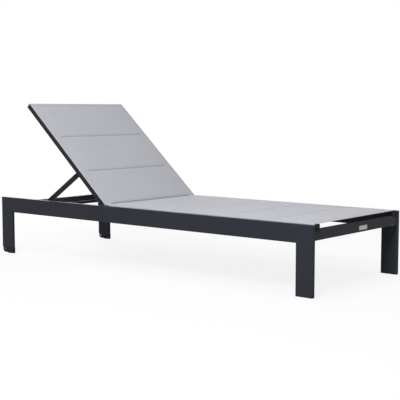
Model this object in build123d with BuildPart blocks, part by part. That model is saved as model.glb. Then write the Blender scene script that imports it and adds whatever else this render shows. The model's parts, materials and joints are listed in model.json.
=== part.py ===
"""Reclining sun lounger: aluminium frame, padded sling, backrest on a notched stay, head-end wheels.

Frame of the part: +X points to the foot end, +Y to the sitter's left, +Z up.
The origin lies on the ground under the middle of the frame.
"""
import os
from math import cos, radians, sin, sqrt

from build123d import *

os.makedirs("parts", exist_ok=True)

# %% Driving sizes (mm and degrees)

# outer frame
frame_length = 2000.0
frame_width = 746.0
frame_height = 303.0
side_rail_height = 79.0
side_thickness = 18.0
leg_width = 84.0
tube_wall = 2.0
tube_edge_radius = 2.0
tube_bore_radius = 0.8

# cross members
cross_height = 45.5
cross_depth = 25.0
cross_recess = 3.0
cross_wall = 2.0
cross_edge_radius = 2.0
hinge_cross_setback = 3.0
brace_height = 25.0
brace_from_foot = 670.0

# sling rails of the seat and side bars of the backrest share one extrusion
sling_inset = 26.0
bar_width = 26.0
bar_height = 23.0
bar_wall = 2.0
bar_edge_radius = 1.5
bar_proud = 2.5
keder_inset = 4.6
keder_drop = 4.8
keder_channel = 5.6
keder_slot = 2.0
keder_rod = 4.2
keder_wall = 1.5

# padded sling
cloth_thickness = 1.5
cloth_web = 1.2
pad_margin = 68.0
pad_crown = 1.5
pad_depth = 7.0
pad_end_margin = 22.0
foot_hem_inset = 15.0
top_hem_inset = 6.0
hinge_cloth_gap = 10.0
back_cloth_start = 5.3

# backrest and its hinge
hinge_from_head = 762.0
backrest_angle = 41.9
backrest_steepest = 60.0
backrest_length = 751.0
hinge_bolt = 8.0
hinge_bush_wall = 2.0
running_clearance = 0.08
hinge_end_gap = 1.5
knuckle_reach = 14.0
knuckle_plug = 36.0
gusset_length = 45.0
gusset_tip = 26.0
gusset_depth = 21.0
gusset_width = 10.0
hinge_plate_thickness = 5.0
hinge_plate_length = 36.0
hinge_plate_tail = 22.0
hinge_plate_drop = 32.0
hinge_plate_inset = 1.0
hinge_plate_corner = 3.0
hinge_washer = 20.0
bolt_head = 13.0
bolt_head_height = 5.0
hinge_nut = 12.0
nut_height = 6.5
bolt_tail = 1.0
back_bar_width = 20.0
back_bar_depth = 12.0
back_bar_wall = 1.5
back_bar_low = 45.0
back_bar_high_inset = 36.0

# stay (the prop behind the backrest) and its rack
stay_pivot_distance = 254.0
stay_pivot_drop = 3.0
stay_length = 355.0
stay_width = 25.0
stay_thickness = 8.0
stay_side_gap = 2.0
stay_tube = 16.0
stay_tube_wall = 1.5
stay_tube_rise = 39.5
stay_bolt = 8.0
stay_bush_wall = 2.0
stay_bolt_head_height = 4.0
stay_insert = 11.0
stay_insert_length = 10.0
stay_washer = 18.0
stay_sleeve = 6.5
stay_sleeve_plug = 15.0
rack_thickness = 6.0
rack_side_gap = 0.5
rack_seat_gap = 0.3
rack_tooth_rise = 4.5
rack_base = 24.0
rack_margin = 26.0
rack_lean = 20.0
recline_stops = (0.0, 28.0, backrest_angle, 51.5, backrest_steepest)

# wheels and feet
wheel_diameter = 38.0
wheel_width = 9.0
wheel_inset = 3.0
wheel_ground_gap = 0.8
wheel_side_gap = 0.5
wheel_rim_gap = 2.0
tread_thickness = 4.0
tread_edge_radius = 1.5
axle = 6.0
axle_head = 9.0
axle_head_height = 1.8
cheek_radius = 16.5
foot_block_height = 30.0
plug_length = 26.0
plug_clearance = 0.2
glide_height = 4.0

# small parts
cap_thickness = 3.0
cap_lap = 7.0
cap_plug = 20.0
rail_screw = 5.0
rail_screw_head = 9.0
rail_screw_head_height = 3.0
rail_screw_bite = 8.0
hole_clearance = 0.1
bumper_size = 20.0
bumper_height = 12.0
bumper_gap = 0.5
washer_gap = 0.25
tag_length = 70.0
tag_height = 19.0
tag_thickness = 1.2
tag_y = 39.0
tag_drop = 27.0
tag_rivet = 3.2

# %% Places worked out from the driving sizes

half_length = frame_length / 2
half_width = frame_width / 2
side_y = half_width - side_thickness / 2
inner_face = half_width - side_thickness
rail_bottom = frame_height - side_rail_height
brace_x = half_length - brace_from_foot
hinge_x = hinge_from_head - half_length
stay_tube_height = rail_bottom + stay_tube_rise

bar_outer = half_width - sling_inset
bar_inner = bar_outer - bar_width
bar_y = (bar_outer + bar_inner) / 2
bar_top = frame_height + bar_proud
bar_bottom = bar_top - bar_height
bar_middle = bar_top - bar_height / 2
keder_y = bar_outer - keder_inset

cross_x = half_length - cross_recess - cross_depth / 2
head_cross_top = bar_bottom - bumper_height - bumper_gap
hinge_cross_x = hinge_x + bar_height / 2 + hinge_end_gap + hinge_cross_setback + cross_depth / 2

hinge_z = bar_middle
seat_rail_start = hinge_x + bar_height / 2 + hinge_end_gap
seat_rail_end = half_length - cap_thickness
tilt = radians(backrest_angle)
bush_diameter = hinge_bolt + 2 * hinge_bush_wall

stay_outer = bar_inner - stay_side_gap
stay_inner = stay_outer - stay_thickness
stay_tube_reach = inner_face - rack_thickness - rack_side_gap
rack_top = stay_tube_height + rack_tooth_rise

wheel_x = half_length - wheel_inset - wheel_diameter / 2
wheel_z = wheel_diameter / 2 + wheel_ground_gap

SIDES = (("left", 1), ("right", -1))
ENDS = (1, -1)


def stay_foot_x(angle):
    """X of the stay's cross tube when it rests at rack height with the backrest at this angle."""
    turn = radians(angle)
    pivot_x = hinge_x - stay_pivot_distance * cos(turn) - stay_pivot_drop * sin(turn)
    pivot_z = hinge_z + stay_pivot_distance * sin(turn) - stay_pivot_drop * cos(turn)
    drop = pivot_z - stay_tube_height
    return pivot_x - sqrt(stay_length**2 - drop**2)


def side_plane(sign, inner, outer):
    """XZ plane from which a positive extrusion of (outer - inner) fills that slab on one side."""
    start = outer if sign > 0 else -inner
    return Plane.XZ.offset(-start)


def back_plane(y):
    """Plane of the tilted backrest: local x runs up the bars from the hinge, local y out of the cloth."""
    return Plane(origin=(hinge_x, y, hinge_z), x_dir=(-cos(tilt), 0, sin(tilt)), z_dir=(0, 1, 0))


def back_slab(sign, inner, outer):
    """The backrest plane at the lower Y of a slab on one side; extrusions run towards +Y."""
    return back_plane(inner if sign > 0 else -outer)


def back_section(distance):
    """Plane square to the bars, this far up from the hinge: local y is out of the cloth, local x is -Y."""
    up = (-cos(tilt), 0, sin(tilt))
    origin = (hinge_x + distance * up[0], 0, hinge_z + distance * up[2])
    return Plane(origin=origin, x_dir=(0, -1, 0), z_dir=up)


def mitre_plane(end):
    """Plane of the welded corner between a leg and its rail, its normal on the rail's side."""
    return Plane(
        origin=(end * half_length, 0, frame_height),
        x_dir=(0, 1, 0),
        z_dir=(-end * side_rail_height, 0, leg_width),
    )


def save(part, name):
    """Label a finished piece and write its STEP file."""
    part.label = name
    export_step(part, f"parts/{name}.step")


# %% Side rails: box section mitred at both ends

screw_x = (cross_x, brace_x, hinge_cross_x)
rack_start = stay_foot_x(recline_stops[0]) - rack_margin
rack_end = stay_foot_x(recline_stops[-1]) + rack_margin
rack_screw_z = rack_top - rack_tooth_rise - stay_tube / 2 - rack_base / 2
rack_screws_at = [
    (rack_start + rack_base / 2, rack_screw_z),
    ((rack_start + rack_end) / 2, rack_screw_z),
    (rack_end - rack_base / 2, rack_screw_z),
]

for side, sign in SIDES:
    with BuildPart() as side_rail:
        with BuildSketch(Plane.YZ.offset(-half_length)):
            with Locations((sign * side_y, frame_height - side_rail_height / 2)):
                RectangleRounded(side_thickness, side_rail_height, tube_edge_radius)
                RectangleRounded(
                    side_thickness - 2 * tube_wall,
                    side_rail_height - 2 * tube_wall,
                    tube_bore_radius,
                    mode=Mode.SUBTRACT,
                )
        extrude(amount=frame_length)
        for end in ENDS:
            split(bisect_by=mitre_plane(end), keep=Keep.TOP)
        with BuildSketch(side_plane(sign, inner_face, inner_face + tube_wall)):
            with Locations((hinge_x, hinge_z)):
                Circle(hinge_bolt / 2 + hole_clearance)
            with Locations(*rack_screws_at):
                Circle(rail_screw / 2 + hole_clearance)
        extrude(amount=tube_wall, mode=Mode.SUBTRACT)
    save(side_rail.part, f"side_rail_{side}")


# %% Legs: the same section as the rails, mitred at the top and open at the bottom for a plastic plug

def leg_tube(end, sign, foot_height):
    """One leg, from its plastic foot up to the mitre with the rail."""
    with BuildPart() as leg:
        with BuildSketch(Plane.XY.offset(foot_height)):
            with Locations((end * (half_length - leg_width / 2), sign * side_y)):
                RectangleRounded(leg_width, side_thickness, tube_edge_radius)
                RectangleRounded(
                    leg_width - 2 * tube_wall,
                    side_thickness - 2 * tube_wall,
                    tube_bore_radius,
                    mode=Mode.SUBTRACT,
                )
        extrude(amount=frame_height - foot_height)
        split(bisect_by=mitre_plane(end), keep=Keep.BOTTOM)
    return leg.part


for side, sign in SIDES:
    save(leg_tube(1, sign, glide_height), f"foot_leg_{side}")
    save(leg_tube(-1, sign, foot_block_height), f"head_leg_{side}")


# %% Cross members, welded between the side rails

def cross_tube(centre_x, top, height, with_screws):
    """A box-section tube across the frame, with screw holes under the sling rails."""
    with BuildPart() as tube:
        with BuildSketch(Plane.XZ):
            with Locations((centre_x, top - height / 2)):
                RectangleRounded(cross_depth, height, cross_edge_radius)
                Rectangle(cross_depth - 2 * cross_wall, height - 2 * cross_wall, mode=Mode.SUBTRACT)
        extrude(amount=inner_face, both=True)
        if with_screws:
            with BuildSketch(Plane.XY.offset(top - height)):
                with Locations((centre_x, bar_y), (centre_x, -bar_y)):
                    Circle(rail_screw / 2 + hole_clearance)
            extrude(amount=height, mode=Mode.SUBTRACT)
    return tube.part


save(cross_tube(cross_x, bar_bottom, cross_height, True), "foot_cross_rail")
save(cross_tube(-cross_x, head_cross_top, cross_height, False), "head_cross_rail")
save(cross_tube(hinge_cross_x, bar_bottom, cross_height, True), "hinge_cross_rail")
save(cross_tube(brace_x, bar_bottom, brace_height, True), "seat_cross_bar")


# %% The sling extrusion: a box tube with a keder channel open at the top, near its outer face

def sling_profile(centre, outward):
    """Section of a sling rail in the current sketch; outward is the local x sign of its outer face."""
    x, y = centre
    channel = (x + outward * (bar_width / 2 - keder_inset), y + bar_height / 2 - keder_drop)
    with Locations(centre):
        RectangleRounded(bar_width, bar_height, bar_edge_radius)
        Rectangle(bar_width - 2 * bar_wall, bar_height - 2 * bar_wall, mode=Mode.SUBTRACT)
    boss_height = keder_drop + keder_channel / 2 + keder_wall
    boss_width = keder_inset + keder_channel / 2 + keder_wall
    boss_x = x + outward * (bar_width / 2 - boss_width / 2)
    boss_y = y + bar_height / 2 - boss_height / 2
    with Locations((boss_x, boss_y)):
        RectangleRounded(boss_width, boss_height, bar_edge_radius)
    with Locations(channel):
        Circle(keder_channel / 2, mode=Mode.SUBTRACT)
    with Locations((channel[0], y + bar_height / 2 - keder_drop / 2)):
        Rectangle(keder_slot, keder_drop, mode=Mode.SUBTRACT)


bore_width = bar_width - 2 * bar_wall
plug_height = bar_height - bar_wall - keder_drop - keder_channel / 2 - keder_wall - 2 * plug_clearance
plug_width = bore_width - 2 * plug_clearance
plug_centre = -bar_height / 2 + bar_wall + plug_clearance + plug_height / 2
plate_top = frame_height - hinge_plate_inset
plate_bottom = hinge_z - hinge_plate_drop
plate_middle = hinge_x - hinge_plate_tail + hinge_plate_length / 2

for side, sign in SIDES:
    with BuildPart() as sling_rail:
        with BuildSketch(Plane.YZ.offset(seat_rail_start)):
            sling_profile((sign * bar_y, bar_middle), sign)
        extrude(amount=seat_rail_end - seat_rail_start)
        with BuildSketch(Plane.XY.offset(bar_bottom)):
            with Locations(*[(x, sign * bar_y) for x in screw_x]):
                Circle(rail_screw / 2 + hole_clearance)
        extrude(amount=bar_wall, mode=Mode.SUBTRACT)
    save(sling_rail.part, f"sling_rail_{side}")

    # plastic cap on the foot end, lapping down over the face of the cross rail
    with BuildPart() as foot_cap:
        with BuildSketch(Plane.YZ.offset(seat_rail_end)):
            with Locations((sign * bar_y, bar_middle - cap_lap / 2)):
                RectangleRounded(bar_width, bar_height + cap_lap, bar_edge_radius)
        extrude(amount=cap_thickness)
        with BuildSketch(Plane.YZ.offset(seat_rail_end)):
            with Locations((sign * bar_y, bar_middle + plug_centre)):
                Rectangle(plug_width, plug_height)
        extrude(amount=-cap_plug)
        with BuildSketch(Plane.XY.offset(bar_bottom)):
            with Locations((cross_x, sign * bar_y)):
                Circle(rail_screw_head / 2)
        extrude(amount=bar_wall + rail_screw_bite + hole_clearance, mode=Mode.SUBTRACT)
    save(foot_cap.part, f"sling_rail_cap_{side}")

    with BuildPart() as backrest_bar:
        with BuildSketch(back_section(knuckle_reach)):
            sling_profile((-sign * bar_y, 0), -sign)
        extrude(amount=backrest_length - cap_thickness - knuckle_reach)
        with BuildSketch(back_slab(sign, bar_inner, bar_inner + bar_wall)):
            with Locations((stay_pivot_distance, -stay_pivot_drop)):
                Circle(stay_bolt / 2 + hole_clearance)
        extrude(amount=bar_wall, mode=Mode.SUBTRACT)
    save(backrest_bar.part, f"backrest_bar_{side}")

    with BuildPart() as back_cap:
        with BuildSketch(back_section(backrest_length - cap_thickness)):
            with Locations((-sign * bar_y, 0)):
                RectangleRounded(bar_width, bar_height, bar_edge_radius)
        extrude(amount=cap_thickness)
        with BuildSketch(back_section(backrest_length - cap_thickness)):
            with Locations((-sign * bar_y, plug_centre)):
                Rectangle(plug_width, plug_height)
        extrude(amount=-cap_plug)
    save(back_cap.part, f"backrest_cap_{side}")

    # cast knuckle: rounded eye on the hinge bolt, a tongue inside the bar and a gusset below it
    with BuildPart() as knuckle:
        with BuildSketch(back_slab(sign, bar_inner, bar_outer)):
            Circle(bar_height / 2)
            with Locations((knuckle_reach / 2, 0)):
                Rectangle(knuckle_reach, bar_height)
        extrude(amount=bar_width)
        with BuildSketch(back_section(knuckle_reach)):
            with Locations((-sign * bar_y, plug_centre)):
                Rectangle(plug_width, plug_height)
        extrude(amount=knuckle_plug)
        with BuildSketch(back_slab(sign, bar_outer - gusset_width, bar_outer)):
            with BuildLine():
                Polyline(
                    (0, 0),
                    (0, -bar_height / 2),
                    (gusset_tip, -bar_height / 2 - gusset_depth),
                    (gusset_length, -bar_height / 2),
                    (knuckle_reach, -bar_height / 2),
                    (knuckle_reach, 0),
                    close=True,
                )
            make_face()
        extrude(amount=gusset_width)
        with BuildSketch(back_slab(sign, bar_inner, bar_outer)):
            Circle(bush_diameter / 2)
        extrude(amount=bar_width, mode=Mode.SUBTRACT)
    save(knuckle.part, f"hinge_knuckle_{side}")

    # fixed plate on the inner face of the side rail, which carries the hinge bolt
    with BuildPart() as hinge_plate:
        with BuildSketch(side_plane(sign, inner_face - hinge_plate_thickness, inner_face)):
            with Locations((plate_middle, (plate_top + plate_bottom) / 2)):
                RectangleRounded(hinge_plate_length, plate_top - plate_bottom, hinge_plate_corner)
            with Locations((hinge_x, hinge_z)):
                Circle(hinge_bolt / 2 + hole_clearance, mode=Mode.SUBTRACT)
        extrude(amount=hinge_plate_thickness)
    save(hinge_plate.part, f"hinge_plate_{side}")


# %% Hinge hardware, one node for each kind of fastener

hinge_gap = inner_face - hinge_plate_thickness - bar_outer
nut_face = inner_face + tube_wall


def axis_plane(x, z, y):
    """XZ plane at this Y with its origin on a cross axis; it extrudes towards +Y."""
    return Plane(origin=(x, y, z), x_dir=(1, 0, 0), z_dir=(0, 1, 0))


def span_start(sign, inner, outer):
    """Lower Y of a span on one side."""
    return inner if sign > 0 else -outer


with BuildPart() as hinge_bolts:
    for side, sign in SIDES:
        head_outer = bar_inner - washer_gap
        head_inner = head_outer - bolt_head_height
        tail = nut_face + nut_height + bolt_tail
        with BuildSketch(axis_plane(hinge_x, hinge_z, span_start(sign, head_inner, head_outer))):
            RegularPolygon(bolt_head / 2, 6, major_radius=False)
        extrude(amount=bolt_head_height)
        with BuildSketch(axis_plane(hinge_x, hinge_z, span_start(sign, head_outer, tail))):
            Circle(hinge_bolt / 2)
        extrude(amount=tail - head_outer)
save(hinge_bolts.part, "hinge_bolts")

with BuildPart() as hinge_nuts:
    for side, sign in SIDES:
        with BuildSketch(axis_plane(hinge_x, hinge_z, span_start(sign, nut_face, nut_face + nut_height))):
            RegularPolygon(hinge_nut / 2, 6, major_radius=False)
            Circle(hinge_bolt / 2, mode=Mode.SUBTRACT)
        extrude(amount=nut_height)
save(hinge_nuts.part, "hinge_nuts")

with BuildPart() as hinge_washers:
    for side, sign in SIDES:
        washer_start = span_start(sign, bar_outer + washer_gap, bar_outer + hinge_gap - washer_gap)
        with BuildSketch(axis_plane(hinge_x, hinge_z, washer_start)):
            Circle(hinge_washer / 2)
            Circle(hinge_bolt / 2 + hole_clearance, mode=Mode.SUBTRACT)
        extrude(amount=hinge_gap - 2 * washer_gap)
save(hinge_washers.part, "hinge_washers")

with BuildPart() as hinge_bushes:
    for side, sign in SIDES:
        with BuildSketch(axis_plane(hinge_x, hinge_z, span_start(sign, bar_inner, bar_outer))):
            Circle(bush_diameter / 2)
            Circle(hinge_bolt / 2 + running_clearance, mode=Mode.SUBTRACT)
        extrude(amount=bar_width)
save(hinge_bushes.part, "hinge_bushes")


# %% Backrest cross bars

def back_cross_bar(distance):
    """A flat tube between the side bars, flush with their undersides."""
    with BuildPart() as bar:
        with BuildSketch(back_plane(-bar_inner)):
            with Locations((distance, -bar_height / 2 + back_bar_depth / 2)):
                RectangleRounded(back_bar_width, back_bar_depth, cross_edge_radius)
                Rectangle(
                    back_bar_width - 2 * back_bar_wall,
                    back_bar_depth - 2 * back_bar_wall,
                    mode=Mode.SUBTRACT,
                )
        extrude(amount=2 * bar_inner)
    return bar.part


save(back_cross_bar(back_bar_low), "backrest_low_bar")
save(back_cross_bar(backrest_length - back_bar_high_inset), "backrest_top_bar")


# %% Stay: two flat arms welded to a round tube, on pivot bolts in the backrest bars

pivot_x = hinge_x - stay_pivot_distance * cos(tilt) - stay_pivot_drop * sin(tilt)
pivot_z = hinge_z + stay_pivot_distance * sin(tilt) - stay_pivot_drop * cos(tilt)
foot_x = stay_foot_x(backrest_angle)
stay_bush = stay_bolt + 2 * stay_bush_wall


def stay_plane(y):
    """Plane of a stay arm: origin on the pivot, local x down the arm; it extrudes towards +Y."""
    down = ((foot_x - pivot_x) / stay_length, 0, (stay_tube_height - pivot_z) / stay_length)
    return Plane(origin=(pivot_x, y, pivot_z), x_dir=down, z_dir=(0, 1, 0))


for side, sign in SIDES:
    with BuildPart() as stay_arm:
        with BuildSketch(stay_plane(span_start(sign, stay_inner, stay_outer))):
            with Locations((stay_length / 2, 0)):
                SlotCenterToCenter(stay_length, stay_width)
            Circle(stay_bush / 2, mode=Mode.SUBTRACT)
            with Locations((stay_length, 0)):
                Circle(stay_tube / 2, mode=Mode.SUBTRACT)
        extrude(amount=stay_thickness)
    save(stay_arm.part, f"stay_arm_{side}")

with BuildPart() as stay_bushes:
    for side, sign in SIDES:
        with BuildSketch(stay_plane(span_start(sign, stay_inner, stay_outer))):
            Circle(stay_bush / 2)
            Circle(stay_bolt / 2 + running_clearance, mode=Mode.SUBTRACT)
        extrude(amount=stay_thickness)
save(stay_bushes.part, "stay_bushes")

with BuildPart() as stay_washers:
    for side, sign in SIDES:
        with BuildSketch(stay_plane(span_start(sign, stay_outer + washer_gap, bar_inner - washer_gap))):
            Circle(stay_washer / 2)
            Circle(stay_bolt / 2 + hole_clearance, mode=Mode.SUBTRACT)
        extrude(amount=stay_side_gap - 2 * washer_gap)
save(stay_washers.part, "stay_washers")

tube_half = stay_tube_reach - stay_sleeve

with BuildPart() as stay_cross_tube:
    with BuildSketch(axis_plane(foot_x, stay_tube_height, -tube_half)):
        Circle(stay_tube / 2)
        Circle(stay_tube / 2 - stay_tube_wall, mode=Mode.SUBTRACT)
    extrude(amount=2 * tube_half)
save(stay_cross_tube.part, "stay_cross_tube")

# nylon sleeves pressed into the ends of the stay tube, where it drops into the racks
with BuildPart() as stay_sleeves:
    for side, sign in SIDES:
        sleeve_start = span_start(sign, tube_half, stay_tube_reach)
        with BuildSketch(axis_plane(foot_x, stay_tube_height, sleeve_start)):
            Circle(stay_tube / 2)
        extrude(amount=stay_sleeve)
        plug_start = span_start(sign, tube_half - stay_sleeve_plug, tube_half)
        with BuildSketch(axis_plane(foot_x, stay_tube_height, plug_start)):
            Circle(stay_tube / 2 - stay_tube_wall - plug_clearance)
        extrude(amount=stay_sleeve_plug)
save(stay_sleeves.part, "stay_sleeves")

with BuildPart() as stay_bolts:
    for side, sign in SIDES:
        head_outer = stay_inner - washer_gap
        head_inner = head_outer - stay_bolt_head_height
        tail = bar_inner + bar_wall + stay_insert_length
        with BuildSketch(stay_plane(span_start(sign, head_inner, head_outer))):
            RegularPolygon(bolt_head / 2, 6, major_radius=False)
        extrude(amount=stay_bolt_head_height)
        with BuildSketch(stay_plane(span_start(sign, head_outer, tail))):
            Circle(stay_bolt / 2)
        extrude(amount=tail - head_outer)
save(stay_bolts.part, "stay_pivot_bolts")

with BuildPart() as stay_inserts:
    for side, sign in SIDES:
        insert_inner = bar_inner + bar_wall
        insert_outer = insert_inner + stay_insert_length
        with BuildSketch(stay_plane(span_start(sign, insert_inner, insert_outer))):
            Circle(stay_insert / 2)
            Circle(stay_bolt / 2, mode=Mode.SUBTRACT)
        extrude(amount=stay_insert_length)
save(stay_inserts.part, "stay_pivot_inserts")


# %% Racks: notched plates inside the side rails, one notch for each recline stop

rack_bottom = stay_tube_height - stay_tube / 2 - rack_base
rack_face = inner_face - rack_thickness
notch_radius = stay_tube / 2 + rack_seat_gap

for side, sign in SIDES:
    with BuildPart() as rack:
        with BuildSketch(side_plane(sign, rack_face, inner_face)):
            with Locations(((rack_start + rack_end) / 2, (rack_top + rack_bottom) / 2)):
                Rectangle(rack_end - rack_start, rack_top - rack_bottom)
            for angle in recline_stops:
                with Locations((stay_foot_x(angle), stay_tube_height)):
                    Circle(notch_radius, mode=Mode.SUBTRACT)
                    mouth = Rot(0, 0, -rack_lean) * Rectangle(
                        2 * notch_radius,
                        3 * notch_radius,
                        align=(Align.CENTER, Align.MIN),
                        mode=Mode.PRIVATE,
                    )
                    add(mouth, mode=Mode.SUBTRACT)
        extrude(amount=rack_thickness)
        with BuildSketch(side_plane(sign, rack_face, inner_face)):
            with Locations(*rack_screws_at):
                Circle(rail_screw / 2 + hole_clearance)
        extrude(amount=rack_thickness, mode=Mode.SUBTRACT)
        with BuildSketch(side_plane(sign, rack_face, rack_face + rail_screw_head_height)):
            with Locations(*rack_screws_at):
                Circle(rail_screw_head / 2 + hole_clearance)
        extrude(amount=rail_screw_head_height, mode=Mode.SUBTRACT)
    save(rack.part, f"rack_plate_{side}")

with BuildPart() as rack_screws:
    for side, sign in SIDES:
        head_end = rack_face + rail_screw_head_height
        with BuildSketch(side_plane(sign, rack_face, head_end)):
            with Locations(*rack_screws_at):
                Circle(rail_screw_head / 2)
        extrude(amount=rail_screw_head_height)
        tip = inner_face + tube_wall + bolt_tail
        with BuildSketch(side_plane(sign, head_end, tip)):
            with Locations(*rack_screws_at):
                Circle(rail_screw / 2)
        extrude(amount=tip - head_end)
save(rack_screws.part, "rack_screws")


# %% Screws that hold the sling rails down on the cross members

with BuildPart() as rail_screws:
    for x, height in ((cross_x, cross_height), (hinge_cross_x, cross_height), (brace_x, brace_height)):
        under = bar_bottom - height
        with BuildSketch(Plane.XY.offset(under)):
            with Locations((x, bar_y), (x, -bar_y)):
                Circle(rail_screw / 2)
        extrude(amount=height + rail_screw_bite)
        with BuildSketch(Plane.XY.offset(under - rail_screw_head_height)):
            with Locations((x, bar_y), (x, -bar_y)):
                Circle(rail_screw_head / 2)
        extrude(amount=rail_screw_head_height)
save(rail_screws.part, "sling_rail_screws")


# %% Feet: plastic glides in the foot legs, wheel blocks in the head legs

leg_bore = (leg_width - 2 * tube_wall, side_thickness - 2 * tube_wall)
leg_plug = (leg_bore[0] - 2 * plug_clearance, leg_bore[1] - 2 * plug_clearance)
block_back = -half_length + leg_width
slot_back = -wheel_x + wheel_diameter / 2 + wheel_rim_gap
slot_width = wheel_width + 2 * wheel_side_gap
slot_top = wheel_z + wheel_diameter / 2 + wheel_rim_gap

for side, sign in SIDES:
    with BuildPart() as glide:
        with BuildSketch():
            with Locations((half_length - leg_width / 2, sign * side_y)):
                RectangleRounded(leg_width, side_thickness, tube_edge_radius)
        extrude(amount=glide_height)
        with BuildSketch(Plane.XY.offset(glide_height)):
            with Locations((half_length - leg_width / 2, sign * side_y)):
                RectangleRounded(*leg_plug, tube_bore_radius)
        extrude(amount=plug_length)
    save(glide.part, f"foot_glide_{side}")

    # wheel block: two cheeks round the axle, a solid heel that stands on the ground, a plug in the leg
    with BuildPart() as block:
        with BuildSketch(side_plane(sign, inner_face, half_width)):
            with Locations(((slot_back + block_back) / 2, foot_block_height / 2)):
                Rectangle(block_back - slot_back, foot_block_height)
            with Locations((-wheel_x, wheel_z)):
                Circle(cheek_radius)
            shoulder_start = -wheel_x - cheek_radius
            with Locations(((shoulder_start + slot_back) / 2, (wheel_z + foot_block_height) / 2)):
                Rectangle(slot_back - shoulder_start, foot_block_height - wheel_z)
            with Locations((-wheel_x, foot_block_height + cheek_radius)):
                Rectangle(2 * cheek_radius, 2 * cheek_radius, mode=Mode.SUBTRACT)
            # the cheeks run on to the heel, level with their lowest point, and hide the gap behind the wheel
            cheek_bottom = wheel_z - cheek_radius
            with Locations(((slot_back - wheel_x) / 2, (cheek_bottom + foot_block_height) / 2)):
                Rectangle(slot_back + wheel_x, foot_block_height - cheek_bottom)
        extrude(amount=side_thickness)
        with BuildSketch(Plane.XY.offset(foot_block_height)):
            with Locations((-half_length + leg_width / 2, sign * side_y)):
                RectangleRounded(*leg_plug, tube_bore_radius)
        extrude(amount=plug_length)
        with BuildSketch(side_plane(sign, side_y - slot_width / 2, side_y + slot_width / 2)):
            with Locations(((slot_back - half_length) / 2, slot_top / 2)):
                Rectangle(slot_back + half_length, slot_top)
        extrude(amount=slot_width, mode=Mode.SUBTRACT)
        with BuildSketch(side_plane(sign, inner_face, half_width)):
            with Locations((-wheel_x, wheel_z)):
                Circle(axle / 2 + running_clearance)
        extrude(amount=side_thickness, mode=Mode.SUBTRACT)
    save(block.part, f"wheel_block_{side}")

    hub_diameter = wheel_diameter - 2 * tread_thickness
    with BuildPart() as hub:
        with BuildSketch(side_plane(sign, side_y - wheel_width / 2, side_y + wheel_width / 2)):
            with Locations((-wheel_x, wheel_z)):
                Circle(hub_diameter / 2)
                Circle(axle / 2 + running_clearance, mode=Mode.SUBTRACT)
        extrude(amount=wheel_width)
    save(hub.part, f"wheel_hub_{side}")

    with BuildPart() as tread:
        with BuildSketch(side_plane(sign, side_y - wheel_width / 2, side_y + wheel_width / 2)):
            with Locations((-wheel_x, wheel_z)):
                Circle(wheel_diameter / 2)
                Circle(hub_diameter / 2, mode=Mode.SUBTRACT)
        extrude(amount=wheel_width)
        rims = tread.edges().filter_by(GeomType.CIRCLE).sort_by(SortBy.RADIUS)[-2:]
        fillet(rims, radius=tread_edge_radius)
    save(tread.part, f"wheel_tread_{side}")

with BuildPart() as axles:
    for side, sign in SIDES:
        with BuildSketch(side_plane(sign, inner_face, half_width)):
            with Locations((-wheel_x, wheel_z)):
                Circle(axle / 2)
        extrude(amount=side_thickness)
        with BuildSketch(side_plane(sign, inner_face - axle_head_height, inner_face)):
            with Locations((-wheel_x, wheel_z)):
                Circle(axle_head / 2)
        extrude(amount=axle_head_height)
save(axles.part, "wheel_axles")


# %% Rest bumpers on the head cross rail, under the ends of the folded backrest bars

with BuildPart() as bumpers:
    with BuildSketch(Plane.XY.offset(head_cross_top)):
        with Locations((-cross_x, bar_y), (-cross_x, -bar_y)):
            RectangleRounded(bumper_size, bumper_size, tube_edge_radius)
    extrude(amount=bumper_height)
save(bumpers.part, "rest_bumpers")


# %% Keder rods and the padded sling: each cloth has its web in the channel slots and a padded core

cloth_edge = keder_y + cloth_web / 2
pad_half_width = half_width - pad_margin
keder_z = bar_top - keder_drop
keder_rise = keder_z - hinge_z
seat_cloth_start = hinge_x + hinge_cloth_gap
seat_cloth_end = half_length - foot_hem_inset
back_cloth_end = backrest_length - top_hem_inset
web_z = keder_z + keder_rod / 2

with BuildPart() as seat_keder:
    with BuildSketch(Plane.YZ.offset(seat_rail_start)):
        with Locations((keder_y, keder_z), (-keder_y, keder_z)):
            Circle(keder_rod / 2)
    extrude(amount=seat_cloth_end - seat_rail_start)
save(seat_keder.part, "seat_keder_rods")

with BuildPart() as back_keder:
    with BuildSketch(back_section(knuckle_reach)):
        with Locations((keder_y, keder_rise), (-keder_y, keder_rise)):
            Circle(keder_rod / 2)
    extrude(amount=back_cloth_end - knuckle_reach)
save(back_keder.part, "backrest_keder_rods")

with BuildPart() as seat_sling:
    with BuildSketch(Plane.YZ.offset(seat_cloth_start)):
        with Locations((0, bar_top + cloth_thickness / 2)):
            Rectangle(2 * cloth_edge, cloth_thickness)
    extrude(amount=seat_cloth_end - seat_cloth_start)
    with BuildSketch(Plane.YZ.offset(seat_rail_start)):
        with Locations((keder_y, (web_z + bar_top) / 2), (-keder_y, (web_z + bar_top) / 2)):
            Rectangle(cloth_web, bar_top - web_z)
    extrude(amount=seat_cloth_end - seat_rail_start)
    with BuildSketch(Plane.YZ.offset(seat_cloth_start + pad_end_margin)):
        with Locations((0, bar_top + (cloth_thickness + pad_crown - pad_depth) / 2)):
            Rectangle(2 * pad_half_width, cloth_thickness + pad_crown + pad_depth)
    extrude(amount=seat_cloth_end - seat_cloth_start - 2 * pad_end_margin)
save(seat_sling.part, "seat_sling")

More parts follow.
